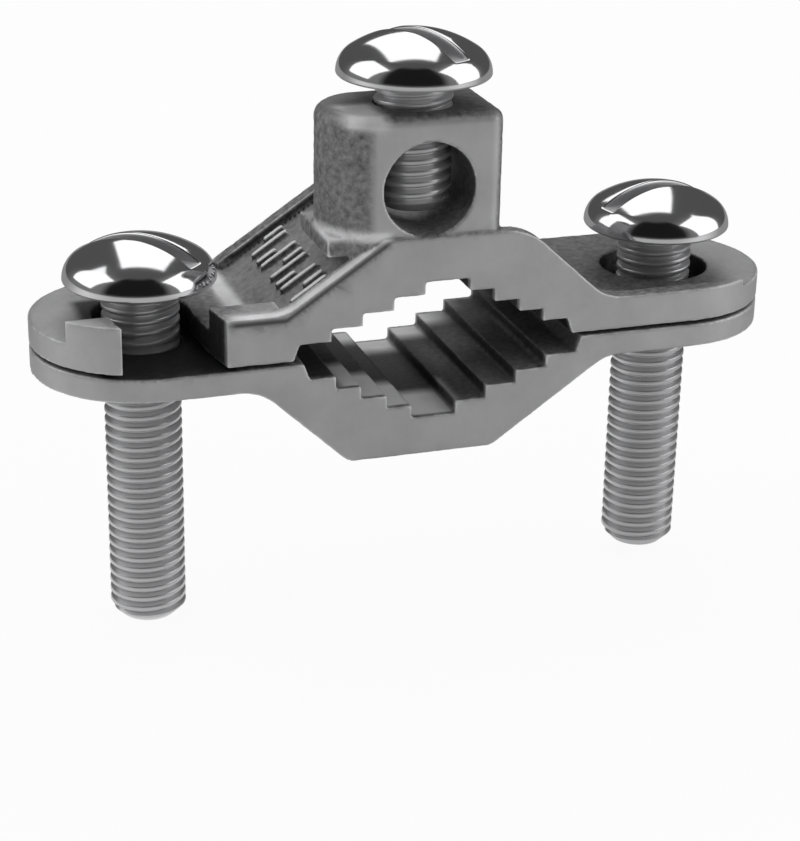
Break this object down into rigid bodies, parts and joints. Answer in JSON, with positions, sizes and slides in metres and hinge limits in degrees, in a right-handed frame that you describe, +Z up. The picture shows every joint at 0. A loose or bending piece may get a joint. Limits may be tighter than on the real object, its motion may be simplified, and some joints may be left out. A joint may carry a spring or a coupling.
{
  "type": "earthing pipe clamp",
  "caption": "Earthing clamp for a pipe: cast jaws with stepped V seats drawn together by slotted screws, and a wire lug with a pinch screw on the upper jaw.",
  "frame": {"origin": "centre of the pipe seat: on the parting plane between the jaws, midway between the two clamp screws and between the jaws' flat faces", "axes": "+X along the clamp from the slotted ear to the pivot ear, +Y along the pipe, +Z up through the wire lug"},
  "size_m": [0.0632, 0.0193, 0.0496],
  "materials": {
    "casting": "as-cast grey zinc alloy, satin on the flat faces and dull in the recesses",
    "screw": "bright plated steel, polished heads and satin threads"
  },
  "bodies": {
    "upper_jaw": {"upper_jaw": "casting"},
    "right_clamp_screw": {"right_clamp_screw": "screw"},
    "lower_jaw": {"lower_jaw": "casting"},
    "left_clamp_screw": {"left_clamp_screw": "screw"},
    "lug_screw": {"lug_screw": "screw"}
  },
  "joints": [
    {"name": "swing", "type": "hinge", "parent": "upper_jaw", "child": "right_clamp_screw", "pos_m": [0.0226, 0, 0], "axis": [0, 0, 1], "range_deg": [0, 340]},
    {"name": "left_screw_turn", "type": "hinge", "parent": "right_clamp_screw", "child": "left_clamp_screw", "pos_m": [-0.0226, 0, 0], "axis": [0, 0, 1], "range_deg": [0, 7145]},
    {"name": "jaw_open", "type": "slide", "parent": "right_clamp_screw", "child": "lower_jaw", "axis": [0, 0, -1], "range_m": [0, 0.018]},
    {"name": "lug_screw_travel", "type": "slide", "parent": "upper_jaw", "child": "lug_screw", "axis": [0, 0, 1], "range_m": [-0.0005, 0.0062]}
  ],
  "couplings": [
    {"joint": "left_screw_turn", "follows": "jaw_open", "rad_per_m": 6927.4}
  ]
}
